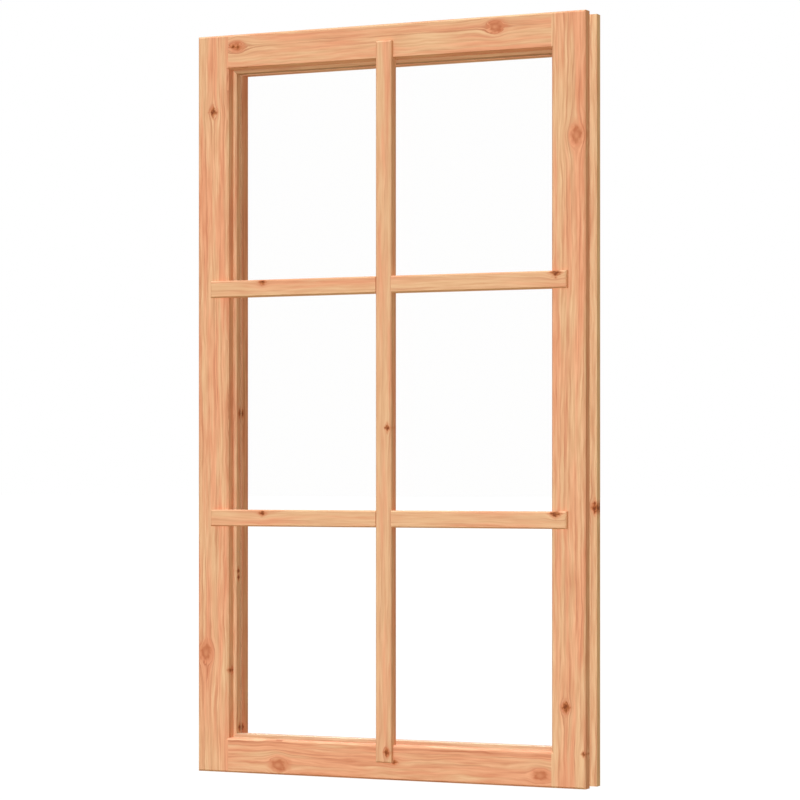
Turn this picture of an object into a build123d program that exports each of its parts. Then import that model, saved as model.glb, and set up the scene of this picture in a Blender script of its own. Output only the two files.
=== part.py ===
from build123d import *
import os

# Fixed six-light timber window for a board or log wall. The frame is a lining with a casing
# planted on its front and on its rear, so that a groove is left all round for the wall boards.
# X runs across the window, Y from the front to the rear and Z up. The origin is the centre of
# the whole depth at the foot of the casings. All sizes are in millimetres.

# Overall size, over the casing boards
width = 755.0
height = 1330.0

# Casing boards, front and rear
casing_width = 62.0
front_thickness = 21.0
rear_thickness = 18.0
casing_chamfer = 3.0

# Lining between the two casings
lining_depth = 34.0
groove_depth = 16.0
stop_height = 6.5
stop_depth = 14.0
stop_proud = 8.5
sill_fall = 2.5

# Glass, glazing tape and setting blocks
glass_thickness = 4.0
glass_gap = 1.5
glass_arris = 0.4
tape_thickness = 1.0
tape_setback = 1.0
block_length = 60.0
block_inset = 160.0

# Glazing beads and their square pins
bead_proud = 1.0
bead_ease = 0.8
pin_width = 1.2
pin_length = 22.0
pin_pitch = 260.0
pin_inset = 60.0

# Bars on the front
bar_width = 30.0
bar_thickness = 21.0
bar_proud = 10.0
bar_lap = 31.0
bar_chamfer = 2.2
bar_columns = 2
bar_rows = 3

# Dowels and screws, both drawn with this many sides
round_sides = 12
dowel_radius = 4.0
dowel_length = 50.0
dowel_spacing = 32.0
bar_dowel_length = 14.0
screw_radius = 2.5
screw_head_radius = 5.0
screw_tip_radius = 0.4
screw_length = 90.0
screw_spacing = 18.0

# Clearances, the overrun of a cut past an open face and the tolerance for finding an edge
joint_clearance = 0.1
pin_clearance = 0.05
cut_overrun = 1.0
edge_tolerance = 0.001

# Places along Y that follow from the sizes above
total_depth = bar_proud + front_thickness + lining_depth + rear_thickness
bar_front_y = -total_depth / 2
front_y = bar_front_y + bar_proud
bar_rear_y = bar_front_y + bar_thickness
lining_y = front_y + front_thickness
lining_end_y = lining_y + lining_depth
rear_y = lining_end_y + rear_thickness
bead_y = lining_y - bead_proud
stop_y = lining_end_y - stop_depth
stop_end_y = lining_end_y + stop_proud
glass_rear_y = stop_y - tape_thickness
glass_y = glass_rear_y - glass_thickness
bead_rear_y = glass_y - tape_thickness

# Half widths and levels of the openings
casing_half = width / 2 - casing_width
casing_low = casing_width
casing_high = height - casing_width
sight_half = casing_half - stop_height
sight_low = casing_low + stop_height
sight_high = casing_high - stop_height
lining_half = width / 2 - groove_depth
glass_half = casing_half - glass_gap
glass_low = casing_low + glass_gap
glass_high = casing_high - glass_gap

# Middles of the bars, which leave equal clear panes
pane_width = (2 * casing_half - (bar_columns - 1) * bar_width) / bar_columns
pane_height = (casing_high - casing_low - (bar_rows - 1) * bar_width) / bar_rows
upright_places = [
    -casing_half + (i + 1) * pane_width + (i + 0.5) * bar_width for i in range(bar_columns - 1)
]
cross_levels = [
    casing_low + (i + 1) * pane_height + (i + 0.5) * bar_width for i in range(bar_rows - 1)
]
halving_y = (bar_front_y + bar_rear_y) / 2


def block(x_span, y_span, z_span):
    """A square-edged piece between three pairs of planes."""
    spans = [sorted(span) for span in (x_span, y_span, z_span)]
    sizes = [high - low for low, high in spans]
    middle = [(low + high) / 2 for low, high in spans]
    return Pos(*middle) * Box(*sizes)


def rod(direction, middle, radius, length):
    """A dowel, or the hole for one, with its axis along X or Y."""
    turn = Rot(0, 90, 0) if direction == "X" else Rot(90, 0, 0)
    section = RegularPolygon(radius, round_sides)
    return Pos(*middle) * turn * extrude(section, length / 2, both=True)


def edges_of_face(solid, y):
    """The edges that bound the flat face at one depth."""
    return [
        edge for edge in solid.edges()
        if all(abs(vertex.Y - y) < edge_tolerance for vertex in edge.vertices())
    ]


def chamfer_outline(board, y, size):
    """Chamfer all the arrises round the show face at depth y."""
    return chamfer(edges_of_face(board, y), size)


def joint_dowels(y_middle, clearance=0.0):
    """The dowels of one casing, two across each of its four butt joints."""
    rail_middles = (casing_width / 2, height - casing_width / 2)
    return [
        rod("X", (side * casing_half, y_middle, level + step * dowel_spacing / 2),
            dowel_radius + clearance, dowel_length + 2 * clearance)
        for side in (-1, 1) for level in rail_middles for step in (-1, 1)
    ]


def bar_end_places():
    """The middle of each bar end on the casing, as X and Z."""
    inset = bar_lap + (casing_width - bar_lap) / 2
    places = []
    for x in upright_places:
        places += [(x, inset), (x, height - inset)]
    for z in cross_levels:
        places += [(-width / 2 + inset, z), (width / 2 - inset, z)]
    return places


def bar_housings():
    """The recesses in the front casing that take the bar ends."""
    half = bar_width / 2 + joint_clearance
    depth = (front_y - cut_overrun, bar_rear_y)
    end = bar_lap - joint_clearance
    housings = []
    for x in upright_places:
        across = (x - half, x + half)
        housings.append(block(across, depth, (end, height - end)))
    for z in cross_levels:
        span = (-width / 2 + end, width / 2 - end)
        housings.append(block(span, depth, (z - half, z + half)))
    return housings


def bar_dowels(clearance=0.0):
    """The short dowels between the bar ends and the floors of their housings."""
    return [
        rod("Y", (x, bar_rear_y, z), dowel_radius + clearance, bar_dowel_length + 2 * clearance)
        for x, z in bar_end_places()
    ]


def casing(y_inside, y_face, cuts):
    """The four boards of one casing. The stiles run through, the arrises are chamfered round the
    outside and round the opening after the boards are joined, and the butt joints stay flush."""
    whole = block((-width / 2, width / 2), (y_inside, y_face), (0, height))
    opening = ((-casing_half, casing_half), (-total_depth, total_depth), (casing_low, casing_high))
    whole = chamfer_outline(whole - block(*opening), y_face, casing_chamfer)
    rail_span = (-casing_half, casing_half)
    spans = {
        "left_stile": ((-width / 2, -casing_half), (0, height)),
        "right_stile": ((casing_half, width / 2), (0, height)),
        "top_rail": (rail_span, (casing_high, height)),
        "bottom_rail": (rail_span, (0, casing_low)),
    }
    holes = joint_dowels((y_inside + y_face) / 2, joint_clearance)
    return {
        name: (whole & block(x_span, (y_inside, y_face), z_span)) - holes - cuts
        for name, (x_span, z_span) in spans.items()
    }


def corner_screw(side, y, z, clearance=0.0):
    """A countersunk wood screw that starts at the floor of the groove and points inwards."""
    radius = screw_radius + clearance
    head = screw_head_radius + clearance
    length = screw_length + clearance
    outlines = [
        Pos(0, 0, place) * RegularPolygon(size, round_sides)
        for place, size in (
            (0, head), (head - radius, radius), (length - radius, radius), (length, screw_tip_radius),
        )
    ]
    screw = loft(outlines, ruled=True)
    return Pos(side * lining_half, y, z) * Rot(0, -90 * side, 0) * screw


def corner_screws(clearance=0.0):
    """Two screws at each corner of the lining."""
    middle_y = (lining_y + lining_end_y) / 2
    half_board = (casing_width - groove_depth) / 2
    levels = (groove_depth + half_board, height - groove_depth - half_board)
    return [
        corner_screw(side, middle_y + step * screw_spacing / 2, level, clearance)
        for side in (-1, 1) for level in levels for step in (-1, 1)
    ]


def jamb(side):
    """An upright of the lining: plain outer face, glazing rebate in front, and a stop behind the
    glass that stands out between the edges of the rear casing."""
    outer = side * lining_half
    levels = (groove_depth, height - groove_depth)
    upright = block((outer, side * casing_half), (lining_y, lining_end_y), levels)
    upright += block((outer, side * sight_half), (stop_y, lining_end_y), levels)
    stop = (side * casing_half, side * sight_half)
    upright += block(stop, (lining_end_y, stop_end_y), (casing_low, casing_high))
    return upright - corner_screws(joint_clearance) - bead_pins(pin_clearance)


def head():
    """The top of the lining, scribed at its ends to the jambs' rebates and stops."""
    levels = (casing_high, height - groove_depth)
    piece = block((-casing_half, casing_half), (lining_y, stop_y), levels)
    sight = (-sight_half, sight_half)
    piece += block(sight, (stop_y, lining_end_y), (sight_high, levels[1]))
    piece += block(sight, (lining_end_y, stop_end_y), (sight_high, casing_high))
    return piece - corner_screws(joint_clearance) - bead_pins(pin_clearance)


def sill():
    """The foot of the lining: its stop falls to the rear, so that water runs off the glass."""
    levels = (groove_depth, casing_low)
    piece = block((-casing_half, casing_half), (lining_y, stop_y), levels)
    section = Polyline(
        (stop_y, groove_depth), (lining_end_y, groove_depth), (lining_end_y, casing_low),
        (stop_end_y, casing_low), (stop_end_y, sight_low - sill_fall), (stop_y, sight_low),
        close=True,
    )
    weathered = extrude(Plane.YZ * make_face(section), sight_half, both=True)
    return piece + weathered - corner_screws(joint_clearance) - bead_pins(pin_clearance)


def bead(outline, inner_middle):
    """A mitred glazing bead: its outline in the plane of the glass, and its eased arris."""
    points = [(x, 0, z) for x, z in outline]
    face = make_face(Polyline(*points, close=True))
    strip = extrude(face, bead_rear_y - bead_y, dir=(0, 1, 0))
    strip = Pos(0, bead_y, 0) * strip
    arris = Vector(inner_middle[0], bead_y, inner_middle[1])
    nearest = min(strip.edges(), key=lambda edge: (edge.center() - arris).length)
    return chamfer(nearest, bead_ease) - bead_pins(pin_clearance)


def beads():
    """The four beads, mitred at the corners of the glass."""
    middle = (sight_low + sight_high) / 2
    outlines = {}
    for name, side in (("left_bead", -1), ("right_bead", 1)):
        wall = side * casing_half
        sight = side * sight_half
        points = [(wall, casing_low), (wall, casing_high), (sight, sight_high), (sight, sight_low)]
        outlines[name] = (points, (sight, middle))
    for name, wall, sight in (
        ("bottom_bead", casing_low, sight_low),
        ("top_bead", casing_high, sight_high),
    ):
        points = [(-casing_half, wall), (casing_half, wall), (sight_half, sight), (-sight_half, sight)]
        outlines[name] = (points, (0, sight))
    return {name: bead(*values) for name, values in outlines.items()}


def pin_places(low, high):
    """Even places along one bead, about a pitch apart, starting an inset from each end."""
    run = high - low - 2 * pin_inset
    steps = max(1, round(run / pin_pitch))
    return [low + pin_inset + i * run / steps for i in range(steps + 1)]


def bead_pins(clearance=0.0):
    """Headless square pins, driven through the beads into the walls of the rebate."""
    half = pin_width / 2 + clearance
    length = pin_length + clearance
    middle = (bead_y + bead_rear_y) / 2
    depth = (middle - half, middle + half)
    pins = []
    for z in pin_places(sight_low, sight_high):
        for side in (-1, 1):
            run = (side * sight_half, side * (sight_half + length))
            pins.append(block(run, depth, (z - half, z + half)))
    for x in pin_places(-sight_half, sight_half):
        for level, away in ((sight_low, -1), (sight_high, 1)):
            pins.append(block((x - half, x + half), depth, (level, level + away * length)))
    return pins


def glazing_tape(y_front):
    """Four strips of tape round the edge of the glass, the uprights running through."""
    thickness = (y_front, y_front + tape_thickness)
    inner_half = sight_half + tape_setback
    inner_low = sight_low - tape_setback
    inner_high = sight_high + tape_setback
    strips = [
        block((side * inner_half, side * glass_half), thickness, (glass_low, glass_high))
        for side in (-1, 1)
    ]
    strips += [
        block((-inner_half, inner_half), thickness, levels)
        for levels in ((glass_low, inner_low), (inner_high, glass_high))
    ]
    return strips


def glass_pane():
    """One sheet of float glass behind all six lights, with seamed edges."""
    pane = block((-glass_half, glass_half), (glass_y, glass_rear_y), (glass_low, glass_high))
    rims = edges_of_face(pane, glass_y) + edges_of_face(pane, glass_rear_y)
    return chamfer(rims, glass_arris)


def setting_blocks():
    """Two blocks that carry the glass on the floor of the sill's rebate."""
    return [
        block((side * block_inset, side * (block_inset + block_length)),
              (glass_y, glass_rear_y), (casing_low, glass_low))
        for side in (-1, 1)
    ]


def upright_bar(x):
    """The through bar: its rear half is cut away where a cross bar passes."""
    across = (x - bar_width / 2, x + bar_width / 2)
    bar = block(across, (bar_front_y, bar_rear_y), (bar_lap, height - bar_lap))
    bar = chamfer_outline(bar, bar_front_y, bar_chamfer)
    half = bar_width / 2 + joint_clearance
    halvings = [
        block(across, (halving_y, bar_rear_y), (z - half, z + half)) for z in cross_levels
    ]
    return bar - halvings - bar_dowels(joint_clearance)


def cross_bar(z):
    """A cross bar: its front half is cut away where the through bar passes."""
    levels = (z - bar_width / 2, z + bar_width / 2)
    end = width / 2 - bar_lap
    bar = block((-end, end), (bar_front_y, bar_rear_y), levels)
    bar = chamfer_outline(bar, bar_front_y, bar_chamfer)
    half = bar_width / 2 + joint_clearance
    halvings = [
        block((x - half, x + half), (bar_front_y, halving_y), levels) for x in upright_places
    ]
    return bar - halvings - bar_dowels(joint_clearance)


def save(name, solids):
    """Write one piece, or one group of like pieces, to its own file."""
    pieces = solids if isinstance(solids, list) else [solids]
    shape = pieces[0] if len(pieces) == 1 else Compound(children=pieces)
    shape.label = name
    export_step(shape, f"parts/{name}.step")


os.makedirs("parts", exist_ok=True)

front_cuts = bar_housings() + bar_dowels(joint_clearance)
for name, board in casing(lining_y, front_y, front_cuts).items():
    save(f"front_{name}", board)
for name, board in casing(lining_end_y, rear_y, []).items():
    save(f"rear_{name}", board)

save("left_jamb", jamb(-1))
save("right_jamb", jamb(1))
save("head", head())
save("sill", sill())

for name, strip in beads().items():
    save(name, strip)
save("bead_pins", bead_pins())

save("glass_pane", glass_pane())
save("front_tape", glazing_tape(bead_rear_y))
save("rear_tape", glazing_tape(glass_rear_y))
save("setting_blocks", setting_blocks())

for number, x in enumerate(upright_places, 1):
    save(f"upright_bar_{number}", upright_bar(x))
for number, z in enumerate(cross_levels, 1):
    save(f"cross_bar_{number}", cross_bar(z))

save("bar_dowels", bar_dowels())
save("front_dowels", joint_dowels((front_y + lining_y) / 2))
save("rear_dowels", joint_dowels((lining_end_y + rear_y) / 2))
save("corner_screws", corner_screws())
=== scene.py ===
import math

import bpy
import numpy as np
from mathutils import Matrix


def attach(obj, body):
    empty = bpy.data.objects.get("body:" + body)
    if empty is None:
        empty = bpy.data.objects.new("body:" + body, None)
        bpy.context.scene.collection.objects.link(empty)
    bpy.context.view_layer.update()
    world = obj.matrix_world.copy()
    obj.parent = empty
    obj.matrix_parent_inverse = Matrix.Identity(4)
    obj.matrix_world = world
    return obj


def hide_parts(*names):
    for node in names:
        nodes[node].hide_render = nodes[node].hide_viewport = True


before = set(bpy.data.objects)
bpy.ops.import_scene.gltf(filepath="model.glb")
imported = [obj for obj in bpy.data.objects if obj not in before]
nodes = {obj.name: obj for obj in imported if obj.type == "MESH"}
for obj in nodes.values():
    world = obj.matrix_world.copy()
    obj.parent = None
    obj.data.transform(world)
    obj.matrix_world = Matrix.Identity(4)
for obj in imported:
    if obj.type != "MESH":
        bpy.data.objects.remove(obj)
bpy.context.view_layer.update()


# The lining: two jambs, a head and a sill, cut from bare Douglas fir, 34 mm deep, with a stop
# for the glass that stands 8.5 mm further out behind. Each is planed on all its faces and is
# screwed to its neighbours through the groove that the wall boards enter.

def linear(code):
    """The opaque linear colour of an sRGB hex value: each channel is undone from the sRGB curve."""
    channels = [int(code[i:i + 2], 16) / 255 for i in (0, 2, 4)]
    return [c / 12.92 if c < 0.04045 else ((c + 0.055) / 1.055) ** 2.4 for c in channels] + [1.0]


def add(tree, kind, links, **settings):
    """Adds a node with its settings. Each link goes by a socket's name or number among those in
    use, to another node's first output in use, to a given output, or to a fixed value."""
    node = tree.nodes.new(kind)
    for key, value in settings.items():
        setattr(node, key, value)
    sockets = [socket for socket in node.inputs if socket.enabled]
    for key, value in links.items():
        socket = sockets[key] if isinstance(key, int) else next(s for s in sockets if s.name == key)
        if isinstance(value, bpy.types.Node):
            value = next(output for output in value.outputs if output.enabled)
        if isinstance(value, bpy.types.NodeSocket):
            tree.links.new(value, socket)
        else:
            socket.default_value = value
    return node


# The turns, in degrees, that bring the window's axes to a board's own directions: along its
# grain, across its show face and into that face
upright_face = (90, 0, 90)
level_face = (-90, 0, 0)
upright_reveal = (0, 90, 0)
level_reveal = (0, 0, 0)


def softwood(name, turn, pith, seed, knots=(), dark_knots=(), red=0.5, tone=1.0, pale="E8B88E",
             figure=1.0):
    """Planed Douglas fir, bare: it looks warm and matt, in soft straw and pink bands, with thin
    wavy lines of darker late wood that come and go, and finer streaks between them. The rings
    are distances from the pith, whose place is given across and into the board. Round a knot
    the grain bows out as water flows round a post of radius B: its place across the board moves
    back by B squared over the squared distance. Each knot is its place along and across the
    board and its radius. All sizes are in mm, and each pattern's size is given along, across
    and into the board. The seed shifts the patterns, red is the share of pink heartwood, tone
    how light the board is, pale its straw colour, and figure how strongly its lines show."""
    material = bpy.data.materials.new(name)
    material.use_nodes = True
    tree = material.node_tree
    tree.nodes.clear()
    place = add(tree, "ShaderNodeTexCoord", {}).outputs["Object"]
    board = add(tree, "ShaderNodeMapping", {
        "Vector": place, "Rotation": [math.radians(angle) for angle in turn],
        "Scale": (1000, 1000, 1000)})
    parts = add(tree, "ShaderNodeSeparateXYZ", {0: board})
    along, across, into = parts.outputs

    # How the knots push the grain aside, and how much they stir it. A knot is cut at a slant, so
    # it is longer along the board. Spread is the radius of the bow over that of the knot.
    moved = across
    stir = None
    near = {}
    flattening = 0.7
    for group, spread, places in (("sound", 1.4, knots), ("dark", 1.1, dark_knots)):
        for knot_along, knot_across, radius in places:
            off_along = add(tree, "ShaderNodeMath", {0: along, 1: knot_along}, operation="SUBTRACT")
            off_across = add(
                tree, "ShaderNodeMath", {0: across, 1: knot_across}, operation="SUBTRACT")
            short = add(
                tree, "ShaderNodeMath", {0: off_along, 1: flattening}, operation="MULTIPLY")
            square = add(tree, "ShaderNodeMath", {0: short, 1: short}, operation="MULTIPLY")
            square = add(tree, "ShaderNodeMath", {0: off_across, 1: off_across, 2: square},
                         operation="MULTIPLY_ADD")
            bow = (spread * radius) ** 2
            share = add(tree, "ShaderNodeMath", {0: bow, 1: square}, operation="DIVIDE")
            share = add(tree, "ShaderNodeMath", {0: share, 1: 1}, operation="MINIMUM")
            stir = share if stir is None else add(tree, "ShaderNodeMath", {0: stir, 1: share})
            back = add(tree, "ShaderNodeMath", {0: share, 1: off_across}, operation="MULTIPLY")
            moved = add(tree, "ShaderNodeMath", {0: moved, 1: back}, operation="SUBTRACT")
            if group == "sound":
                # An egg: the distance, less a part of the way along
                egg = -0.15
                radii = add(tree, "ShaderNodeMath", {0: square}, operation="SQRT")
                radii = add(tree, "ShaderNodeMath", {0: off_along, 1: egg, 2: radii},
                            operation="MULTIPLY_ADD")
            else:
                # A lozenge: the way along and the way across, added
                radii = add(tree, "ShaderNodeMath", {0: off_across}, operation="ABSOLUTE")
                length = add(tree, "ShaderNodeMath", {0: short}, operation="ABSOLUTE")
                radii = add(tree, "ShaderNodeMath", {0: radii, 1: length})
            radii = add(tree, "ShaderNodeMath", {0: radii, 1: radius}, operation="DIVIDE")
            near[group] = radii if group not in near else add(
                tree, "ShaderNodeMath", {0: near[group], 1: radii}, operation="MINIMUM")
    if stir is None:
        stir = add(tree, "ShaderNodeValue", {}).outputs[0]
        stir.default_value = 0.0

    # Slow wander of the grain, up to 8 mm over 420 mm, and ripples, 2 mm over 50 mm, that grow
    # beside a knot
    wander_reach, ripple_reach, knot_reach = 8, 5.5, 14
    wander_at = add(tree, "ShaderNodeVectorMath", {
        0: board, 1: (1 / 420, 1 / 70, 1 / 70), 2: (seed, 0.37 * seed, 0.61 * seed)},
        operation="MULTIPLY_ADD")
    wander = add(tree, "ShaderNodeTexNoise", {"Vector": wander_at, "Scale": 1, "Detail": 2})
    ripple_at = add(tree, "ShaderNodeVectorMath", {
        0: board, 1: (1 / 50, 1 / 16, 1 / 16), 2: (0.7 * seed, seed, 0)}, operation="MULTIPLY_ADD")
    ripple = add(tree, "ShaderNodeTexNoise", {"Vector": ripple_at, "Scale": 1, "Detail": 2})
    reach = add(tree, "ShaderNodeMath", {0: stir, 1: knot_reach, 2: ripple_reach},
                operation="MULTIPLY_ADD")
    ripple = add(tree, "ShaderNodeMath", {0: ripple, 1: 0.5}, operation="SUBTRACT")
    sway = add(tree, "ShaderNodeMath", {0: wander, 1: 2 * wander_reach, 2: -wander_reach},
               operation="MULTIPLY_ADD")
    sway = add(tree, "ShaderNodeMath", {0: ripple, 1: reach, 2: sway}, operation="MULTIPLY_ADD")
    grain = add(tree, "ShaderNodeMath", {0: moved, 1: sway})

    # Rings, and the bands that run with them. Real rings, 2 mm to 3 mm apart, would be too fine
    # to show at this distance, so the lines stand 7 mm apart and the streaks between them 3 mm.
    # The trunk's taper lets a line run out of the board. A line darkens slowly through the year
    # and ends sharply, as late wood does, by the cube of the year's part. The bands crowd the
    # lines in some places, by up to 1.6 lines.
    line_gap, band_gap, streak_gap, taper, sharpness = 7, 9, 3, 0.006, 3
    from_pith = add(tree, "ShaderNodeMath", {0: grain, 1: pith[0]}, operation="SUBTRACT")
    deep = add(tree, "ShaderNodeMath", {0: into, 1: pith[1]}, operation="SUBTRACT")
    deep = add(tree, "ShaderNodeMath", {0: deep, 1: deep}, operation="MULTIPLY")
    ring = add(tree, "ShaderNodeMath", {0: from_pith, 1: from_pith, 2: deep},
               operation="MULTIPLY_ADD")
    ring = add(tree, "ShaderNodeMath", {0: ring}, operation="SQRT")
    ring = add(tree, "ShaderNodeMath", {0: along, 1: taper, 2: ring}, operation="MULTIPLY_ADD")
    band_at = add(tree, "ShaderNodeMath", {0: ring, 1: 1 / band_gap, 2: seed},
                  operation="MULTIPLY_ADD")
    band = add(tree, "ShaderNodeTexNoise", {"W": band_at, "Scale": 1, "Detail": 3},
               noise_dimensions="1D")
    crowding = 1.6
    year = add(tree, "ShaderNodeMath", {0: band, 1: crowding}, operation="MULTIPLY")
    year = add(tree, "ShaderNodeMath", {0: ring, 1: 1 / line_gap, 2: year},
               operation="MULTIPLY_ADD")
    year = add(tree, "ShaderNodeMath", {0: year}, operation="FRACT")
    late = add(tree, "ShaderNodeMath", {0: year, 1: sharpness}, operation="POWER")
    flow = add(tree, "ShaderNodeCombineXYZ", {0: along, 1: grain, 2: into})
    streak_at = add(tree, "ShaderNodeVectorMath", {
        0: flow, 1: (1 / 60, 1 / streak_gap, 1 / streak_gap), 2: (seed, 0, seed)},
        operation="MULTIPLY_ADD")
    streak = add(tree, "ShaderNodeTexNoise", {"Vector": streak_at, "Scale": 1, "Detail": 3})

    # Where the lines come and go: each shows for some 130 mm, and always beside a knot
    faintest, strongest, beside_knot = 0.08, 0.68, 0.5
    shown_at = add(tree, "ShaderNodeVectorMath", {
        0: flow, 1: (1 / 130, 1 / 12, 1 / 40), 2: (0, seed, 0)}, operation="MULTIPLY_ADD")
    shown = add(tree, "ShaderNodeTexNoise", {"Vector": shown_at, "Scale": 1, "Detail": 1})
    shown = add(tree, "ShaderNodeMapRange", {
        "Value": shown, "From Min": 0.38, "From Max": 0.62,
        "To Min": faintest, "To Max": strongest * figure})
    shown = add(tree, "ShaderNodeMath", {0: stir, 1: beside_knot, 2: shown},
                operation="MULTIPLY_ADD")

    # Long soft blotches of pink heartwood, 200 mm by 17 mm, and some pink in the bands
    blotch_at = add(tree, "ShaderNodeVectorMath", {
        0: flow, 1: (1 / 200, 1 / 17, 1 / 17), 2: (seed, 0.5 * seed, 0)}, operation="MULTIPLY_ADD")
    blotch = add(tree, "ShaderNodeTexNoise", {"Vector": blotch_at, "Scale": 1, "Detail": 2})
    band_part = 0.3
    mixed = add(tree, "ShaderNodeMath", {0: band, 1: band_part, 2: blotch},
                operation="MULTIPLY_ADD")
    less_red = 0.4 * (0.5 - red)
    mixed = add(tree, "ShaderNodeMapRange", {
        "Value": mixed, "From Min": 0.48 + less_red, "From Max": 0.82 + less_red},
        interpolation_type="SMOOTHSTEP")
    colour = add(tree, "ShaderNodeMix", {
        "Factor": mixed, "A": linear(pale), "B": linear("E9A37D")}, data_type="RGBA")

    # The lines of late wood, then the streaks, which take or give a little light, most of it blue
    line = add(tree, "ShaderNodeMath", {0: late, 1: shown}, operation="MULTIPLY", use_clamp=True)
    colour = add(tree, "ShaderNodeMix", {
        "Factor": line, "A": colour, "B": linear("C27452")}, data_type="RGBA")
    hair_range = 0.2 / figure
    hair = add(tree, "ShaderNodeMapRange", {
        "Value": streak, "From Min": 0.5 - hair_range, "From Max": 0.5 + hair_range})
    hair = add(tree, "ShaderNodeMix", {
        "Factor": hair, "A": (0.87 * tone, 0.75 * tone, 0.71 * tone, 1),
        "B": (1.07 * tone, 1.15 * tone, 1.20 * tone, 1)}, data_type="RGBA")
    colour = add(tree, "ShaderNodeMix", {
        "Factor": 1.0, "A": colour, "B": hair}, data_type="RGBA", blend_type="MULTIPLY")

    # Knots: a red halo in the grain, then the uneven rings of the branch, whose colour swings
    # with the cosine of the radius. Size is that of the patches in it, ragged how far they
    # push its outline in and out, and turns the number of rings in its radius. The halo fades
    # out from 1.0 to 2.2 radii and the branch from 0.7 to 1.5, so that no edge looks cut.
    for group, size, ragged, turns, swing, halo, heart, rim in (
        ("sound", 6.5, 0.8, 0.75, 0.35, "D9845F", "BE6D4A", "D68F68"),
        ("dark", 3.4, 1.4, 0.35, -0.5, "D07A54", "7A3410", "BF7040"),
    ):
        if group not in near:
            continue
        rough_at = add(tree, "ShaderNodeVectorMath", {
            0: board, 1: (0.7 / size, 1 / size, 1 / size)}, operation="MULTIPLY")
        rough = add(tree, "ShaderNodeTexNoise", {"Vector": rough_at, "Scale": 1, "Detail": 1})
        radii = add(tree, "ShaderNodeMath", {0: rough, 1: ragged, 2: near[group]},
                    operation="MULTIPLY_ADD")
        radii = add(tree, "ShaderNodeMath", {0: radii, 1: ragged / 2}, operation="SUBTRACT")
        round_it = add(tree, "ShaderNodeMapRange", {
            "Value": radii, "From Min": 2.2, "From Max": 1.0, "To Max": 0.6},
            interpolation_type="SMOOTHSTEP")
        colour = add(tree, "ShaderNodeMix", {
            "Factor": round_it, "A": colour, "B": linear(halo)}, data_type="RGBA")
        ringed = add(tree, "ShaderNodeMath", {0: radii, 1: 2 * math.pi * turns},
                     operation="MULTIPLY")
        ringed = add(tree, "ShaderNodeMath", {0: ringed}, operation="COSINE")
        contrast, least = 1.4, -0.2
        patchy = add(tree, "ShaderNodeMath", {0: rough, 1: contrast, 2: least},
                     operation="MULTIPLY_ADD")
        ringed = add(tree, "ShaderNodeMath", {0: ringed, 1: swing, 2: patchy},
                     operation="MULTIPLY_ADD")
        branch = add(tree, "ShaderNodeMix", {
            "Factor": ringed, "A": linear(heart), "B": linear(rim)}, data_type="RGBA")
        inside = add(tree, "ShaderNodeMapRange", {
            "Value": radii, "From Min": 1.5, "From Max": 0.7, "To Max": 0.9},
            interpolation_type="SMOOTHSTEP")
        colour = add(tree, "ShaderNodeMix", {
            "Factor": inside, "A": colour, "B": branch}, data_type="RGBA")

    # After planing, late wood and streaks stand less than 0.1 mm proud, and the streaks shine a
    # little more
    height = add(tree, "ShaderNodeMath", {0: line, 1: 0.6, 2: streak}, operation="MULTIPLY_ADD")
    bump = add(tree, "ShaderNodeBump", {"Height": height, "Strength": 0.25, "Distance": 0.0003})
    dull = add(tree, "ShaderNodeMapRange", {
        "Value": streak, "From Min": 0.3, "From Max": 0.7, "To Min": 0.66, "To Max": 0.54})
    shader = add(tree, "ShaderNodeBsdfPrincipled", {
        "Base Color": colour, "Roughness": dull, "Normal": bump, "IOR": 1.5,
        "Specular IOR Level": 0.2})
    add(tree, "ShaderNodeOutputMaterial", {"Surface": shader})
    return material


def dress(name, material):
    """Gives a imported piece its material."""
    mesh = nodes[name].data
    mesh.materials.clear()
    mesh.materials.append(material)


dress("left_jamb", softwood(
    "fir_left_jamb", upright_reveal, (0, 360), 11.3,
    dark_knots=((648, 11, 5), (79, 11, 5)), red=0.8, tone=0.93))
dress("right_jamb", softwood("fir_right_jamb", upright_reveal, (6, -360), 4.7))
dress("head", softwood("fir_head", level_reveal, (4, 1330), 8.1))
dress("sill", softwood("fir_sill", level_reveal, (9, 20), 15.9))


# The glazing: one sheet of clear float glass, 4 mm thick with seamed edges, behind all six
# lights. It stands on two plastic setting blocks between two strips of tan foam tape.

def plain(name, code, roughness, metallic=0.0):
    """A plain finish with a faint unevenness, 2 mm across, of a seventh of its colour and 0.08
    of its roughness either way."""
    material = bpy.data.materials.new(name)
    material.use_nodes = True
    tree = material.node_tree
    tree.nodes.clear()
    place = add(tree, "ShaderNodeTexCoord", {}).outputs["Object"]
    speck = add(tree, "ShaderNodeTexNoise", {"Vector": place, "Scale": 1 / 0.002, "Detail": 2})
    shade = add(tree, "ShaderNodeMapRange", {"Value": speck, "To Min": 0.85, "To Max": 1.15})
    colour = add(tree, "ShaderNodeMix", {
        "Factor": 1.0, "A": linear(code), "B": shade}, data_type="RGBA", blend_type="MULTIPLY")
    dull = add(tree, "ShaderNodeMapRange", {
        "Value": speck, "To Min": roughness - 0.08, "To Max": roughness + 0.08})
    shader = add(tree, "ShaderNodeBsdfPrincipled", {
        "Base Color": colour, "Roughness": dull, "Metallic": metallic})
    add(tree, "ShaderNodeOutputMaterial", {"Surface": shader})
    return material


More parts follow.
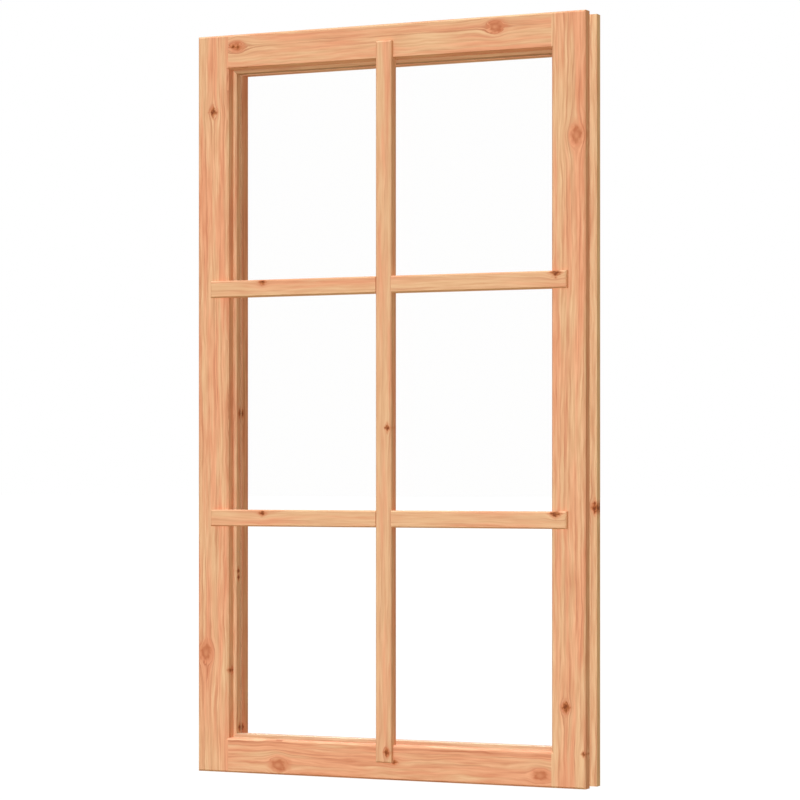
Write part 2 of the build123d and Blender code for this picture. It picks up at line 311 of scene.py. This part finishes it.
def clear_glass():
    """Clear float glass: it lets nearly all light through and mirrors more at a low angle. The
    mirroring is held to a fifth of real glass's, so that the panes look as clear as in the
    photograph."""
    material = bpy.data.materials.new("float_glass")
    material.use_nodes = True
    tree = material.node_tree
    tree.nodes.clear()
    through = add(tree, "ShaderNodeBsdfTransparent", {"Color": (1, 1, 1, 1)})
    mirror = add(tree, "ShaderNodeBsdfGlossy", {"Color": (1, 1, 1, 1), "Roughness": 0.0})
    share = add(tree, "ShaderNodeFresnel", {"IOR": 1.5})
    held_to = 0.2
    share = add(tree, "ShaderNodeMath", {0: share, 1: held_to}, operation="MULTIPLY")
    shader = add(tree, "ShaderNodeMixShader", {0: share, 1: through, 2: mirror})
    add(tree, "ShaderNodeOutputMaterial", {"Surface": shader})
    return material


dress("glass_pane", clear_glass())
# Closed-cell foam has no sheen, so it reads as a thin tan line
foam = plain("foam_tape", "B58862", 0.85)
dress("front_tape", foam)
dress("rear_tape", foam)
# Moulded polythene is nearly black, with a soft broad sheen
dress("setting_blocks", plain("black_polythene", "2A2A2B", 0.5))


# The beads: four mitred strips of the same fir, 6.5 mm by 15 mm, that hold the glass from the
# front. Headless square steel pins go through them into the lining.

dress("left_bead", softwood(
    "fir_left_bead", upright_reveal, (-30, 250), 3.1,
    dark_knots=((648, 1, 5), (363, -5, 4), (351, -4, 4), (79, 1, 5)), red=0.2, tone=0.95))
dress("right_bead", softwood("fir_right_bead", upright_face, (250, 30), 6.3, red=0.1))
# The top bead's tone of 0.64 and its deeper straw colour are painted shade, standing in for the
# shadow that the casing's top rail casts on it from above. Its wood is no darker than the other
# beads'.
dress("top_bead", softwood(
    "fir_top_bead_painted_shade", level_face, (1200, -30), 9.2, red=0.2, tone=0.64, pale="E6B180"))
dress("bottom_bead", softwood(
    "fir_bottom_bead", level_face, (120, -30), 2.2, red=0.0, tone=0.9, pale="E4BF9A"))
# Drawn steel wire is bright grey and mirrors softly
dress("bead_pins", plain("bright_steel_wire", "A9A9AA", 0.35, 1.0))


# The casings: boards of planed fir, 62 mm wide, 21 mm thick in front and 18 mm behind, glued to
# the lining. The stiles run through and the rails stand flush between them on dowels. One
# chamfer, 3 mm wide, runs round the outside and another round the opening.

dress("front_left_stile", softwood(
    "fir_front_left_stile", upright_face, (-440, 45), 21.4,
    knots=((213, -361, 9),), dark_knots=((1192, -346, 6.5), (184, -313, 4)), red=0.55))
dress("front_right_stile", softwood(
    "fir_front_right_stile", upright_face, (430, 45), 17.7,
    knots=((1115, 362, 9),), dark_knots=((139, 342, 7), (60, 374, 3)), red=0.5))
dress("front_top_rail", softwood(
    "fir_front_top_rail", level_face, (1375, -50), 31.2,
    knots=((209, 1311, 8), (-300, 1308, 7)), dark_knots=((-305, 1308, 4), (-296, 1307, 4)),
    red=0.52, figure=0.72))
dress("front_bottom_rail", softwood(
    "fir_front_bottom_rail", level_face, (-50, -50), 27.9,
    knots=((-215, 17, 9), (293, 20, 8)), dark_knots=((17, 32, 4),), red=0.68,
    tone=0.985))
dress("rear_left_stile", softwood("fir_rear_left_stile", upright_face, (-430, -50), 5.5))
dress("rear_right_stile", softwood(
    "fir_rear_right_stile", upright_face, (430, -50), 12.8,
    dark_knots=((480, 374, 7),), red=-0.1, pale="EBC396"))
dress("rear_top_rail", softwood("fir_rear_top_rail", level_face, (1375, 50), 19.4))
dress("rear_bottom_rail", softwood("fir_rear_bottom_rail", level_face, (-50, 50), 23.6))
# Turned beech is pale and even, with hardly any grain to be seen at this size
beech = plain("beech_dowel", "D9B48C", 0.6)
dress("front_dowels", beech)
dress("rear_dowels", beech)


# The glazing bars: fir, 30 mm by 21 mm, let 11 mm into the front casing and halved where they
# cross. Their chamfers run round the ends. Short beech dowels hold each end.

dress("upright_bar_1", softwood(
    "fir_upright_bar", upright_face, (60, 80), 14.2, dark_knots=((619, 8, 4.5), (49, 7, 5)),
    red=0.35, tone=0.98, figure=0.6))
dress("cross_bar_1", softwood(
    "fir_lower_cross_bar", level_face, (400, -90), 7.3,
    dark_knots=((-240, 468, 4.5), (327, 470, 6.5)), red=0.35, figure=0.65))
dress("cross_bar_2", softwood(
    "fir_upper_cross_bar", level_face, (812, -90), 7.3,
    dark_knots=((-240, 881, 4.5), (327, 882, 6.5)), red=0.25, figure=0.65))
dress("bar_dowels", beech)


# The corner screws: 5 mm by 90 mm, zinc-plated steel, two at each corner of the lining, driven
# in from the floor of the groove. Their countersunk heads are 10 mm across with a six-lobed
# recess, 2 mm deep. The thread is rolled, 2.8 mm pitch, on the last 57 mm of a plain shank.

sides = 36
screw_length, head_radius, shank_radius, core_radius = 90.0, 5.0, 1.85, 1.7
recess_depth, recess_radius, lobe_height, lobe_count = 2.0, 1.75, 0.3, 6
thread_start, thread_end, thread_pitch, thread_height = 30, 87, 2.8, 0.78
ring_step = 0.28
groove_floor = 361.5
head_and_sill_levels = (39, 1291)
screw_middles = (-2.5, 15.5)

# The recess: a radius that swings six times in a turn. The thread: a height above its root,
# from 0 to 1, that comes to a sharp crest and climbs one pitch in each turn, and that grows
# from nothing over its first 4 mm. Each row of the grid is a ring round the screw's axis.
turn = np.linspace(0, 2 * np.pi, sides, endpoint=False)
lobes = recess_radius + lobe_height * np.cos(lobe_count * turn)
thread_place = np.arange(thread_start, thread_end, ring_step)
phase = (thread_place[:, None] / thread_pitch - turn[None, :] / (2 * np.pi)) % 1
crest = np.clip(1 - np.abs(phase - 0.5) * 3.2, 0, 1)
growth = np.clip((thread_place - thread_start) / 4, 0, 1)[:, None]
thread_radius = core_radius + thread_height * crest * growth
even = np.ones((1, sides))
radii = np.concatenate([
    0.8 * lobes[None, :], lobes[None, :], (head_radius - 0.25) * even, head_radius * even,
    shank_radius * even, shank_radius * even, thread_radius, 1.2 * even, 0.4 * even])
places = np.concatenate([
    [recess_depth, 0.0, 0.0, 0.2, 3.2, thread_start - 0.2], thread_place,
    [screw_length - 1.6, screw_length]])
places = np.repeat(places[:, None], sides, axis=1)
rows = len(radii)
number = np.arange(rows * sides).reshape(rows, sides)
onward = np.roll(number, -1, axis=1)
quads = np.stack([number[:-1], onward[:-1], onward[1:], number[1:]], axis=-1).reshape(-1, 4)
points, faces = [], []
for side in (-1, 1):
    for level in head_and_sill_levels:
        for middle in screw_middles:
            shift = len(points) * rows * sides
            points.append(np.stack([
                side * (groove_floor - places), middle + radii * np.sin(turn),
                level + side * radii * np.cos(turn)], axis=-1).reshape(-1, 3) / 1000)
            faces += (quads + shift).tolist()
            faces += [(number[0][::-1] + shift).tolist(), (number[-1] + shift).tolist()]
screw_mesh = bpy.data.meshes.new("corner_screws_threaded")
screw_mesh.from_pydata(np.concatenate(points).tolist(), [], faces)
screw_mesh.update()
screws = bpy.data.objects.new("corner_screws_threaded", screw_mesh)
bpy.context.scene.collection.objects.link(screws)
# Passivated zinc plate is pale yellow-grey and mirrors softly
screw_mesh.materials.append(plain("zinc_plate", "C9C2A4", 0.3, 1.0))
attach(screws, "root")
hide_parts("corner_screws")


# The studio: a white floor and background, broad lights from the front, from above and from
# behind, and a warm fill that is stronger from below. The floor takes a faint shadow only. The
# camera stands where the photograph's did.

def white_floor():
    """A matt white studio floor, lit from within so that it stays white, with a soft shadow."""
    material = bpy.data.materials.new("studio_white")
    material.use_nodes = True
    tree = material.node_tree
    tree.nodes.clear()
    paint = add(tree, "ShaderNodeBsdfDiffuse", {"Color": (0.1, 0.1, 0.1, 1)})
    glow = add(tree, "ShaderNodeEmission", {"Color": (1, 1, 1, 1), "Strength": 0.9})
    shader = add(tree, "ShaderNodeAddShader", {0: paint, 1: glow})
    add(tree, "ShaderNodeOutputMaterial", {"Surface": shader})
    return material


reach = 60.0
floor_mesh = bpy.data.meshes.new("floor")
floor_mesh.from_pydata(
    [(-reach, -reach, 0), (reach, -reach, 0), (reach, reach, 0), (-reach, reach, 0)], [],
    [(0, 1, 2, 3)])
floor = bpy.data.objects.new("floor", floor_mesh)
bpy.context.scene.collection.objects.link(floor)
floor_mesh.materials.append(white_floor())
floor.visible_diffuse = False
floor.visible_glossy = False
floor.visible_shadow = False

world = bpy.data.worlds.new("studio")
bpy.context.scene.world = world
world.use_nodes = True
sky = world.node_tree
sky.nodes.clear()
ray = add(sky, "ShaderNodeLightPath", {})
direction = add(sky, "ShaderNodeTexCoord", {}).outputs["Generated"]
direction = add(sky, "ShaderNodeSeparateXYZ", {0: direction})
upward = add(sky, "ShaderNodeMapRange", {
    "Value": direction.outputs["Z"], "From Min": -0.4, "From Max": 0.4})
fill_from_below, fill_from_above = (0.6, 0.52, 0.36, 1), (0.325, 0.265, 0.172, 1)
fill = add(sky, "ShaderNodeMix", {
    "Factor": upward, "A": fill_from_below, "B": fill_from_above}, data_type="RGBA")
fill = add(sky, "ShaderNodeMix", {
    "Factor": ray.outputs["Is Camera Ray"], "A": fill, "B": (1, 1, 1, 1)}, data_type="RGBA")
light = add(sky, "ShaderNodeBackground", {"Color": fill, "Strength": 1.0})
add(sky, "ShaderNodeOutputWorld", {"Surface": light})

# Each lamp: the angle it comes from, right of the window's front, and its height above the
# horizon, its strength, its softness, its colour and whether it casts shadows. Angles are in
# degrees.
for name, compass, elevation, energy, softness, colour, shadow in (
    ("front_light", 6, 45, 2.96, 20, (0.8, 0.918, 1.0), False),
    ("top_light", 0, 84, 1.75, 35, (0.78, 0.92, 1.0), True),
    ("rear_light", 210, 25, 1.5, 30, (1.0, 0.97, 0.93), True),
):
    lamp = bpy.data.lights.new(name, "SUN")
    lamp.energy = energy
    lamp.color = colour
    lamp.angle = math.radians(softness)
    lamp.use_shadow = shadow
    carrier = bpy.data.objects.new(name, lamp)
    carrier.rotation_euler = (math.radians(90 - elevation), 0, math.radians(compass))
    bpy.context.scene.collection.objects.link(carrier)

# The camera, 4.8 m before the window and 25.5 degrees to its right, level, its lens shifted up
camera = bpy.data.cameras.new("camera")
camera.sensor_width = 36
camera.lens = 134.685
camera.shift_y = 0.09325
camera.clip_end = 500
viewer = bpy.data.objects.new("camera", camera)
viewer.location = (2.289, -4.7715, 0.537)
viewer.rotation_euler = (math.radians(90), 0, math.radians(25.5))
bpy.context.scene.collection.objects.link(viewer)
bpy.context.scene.camera = viewer
bpy.context.scene.view_settings.view_transform = "Standard"
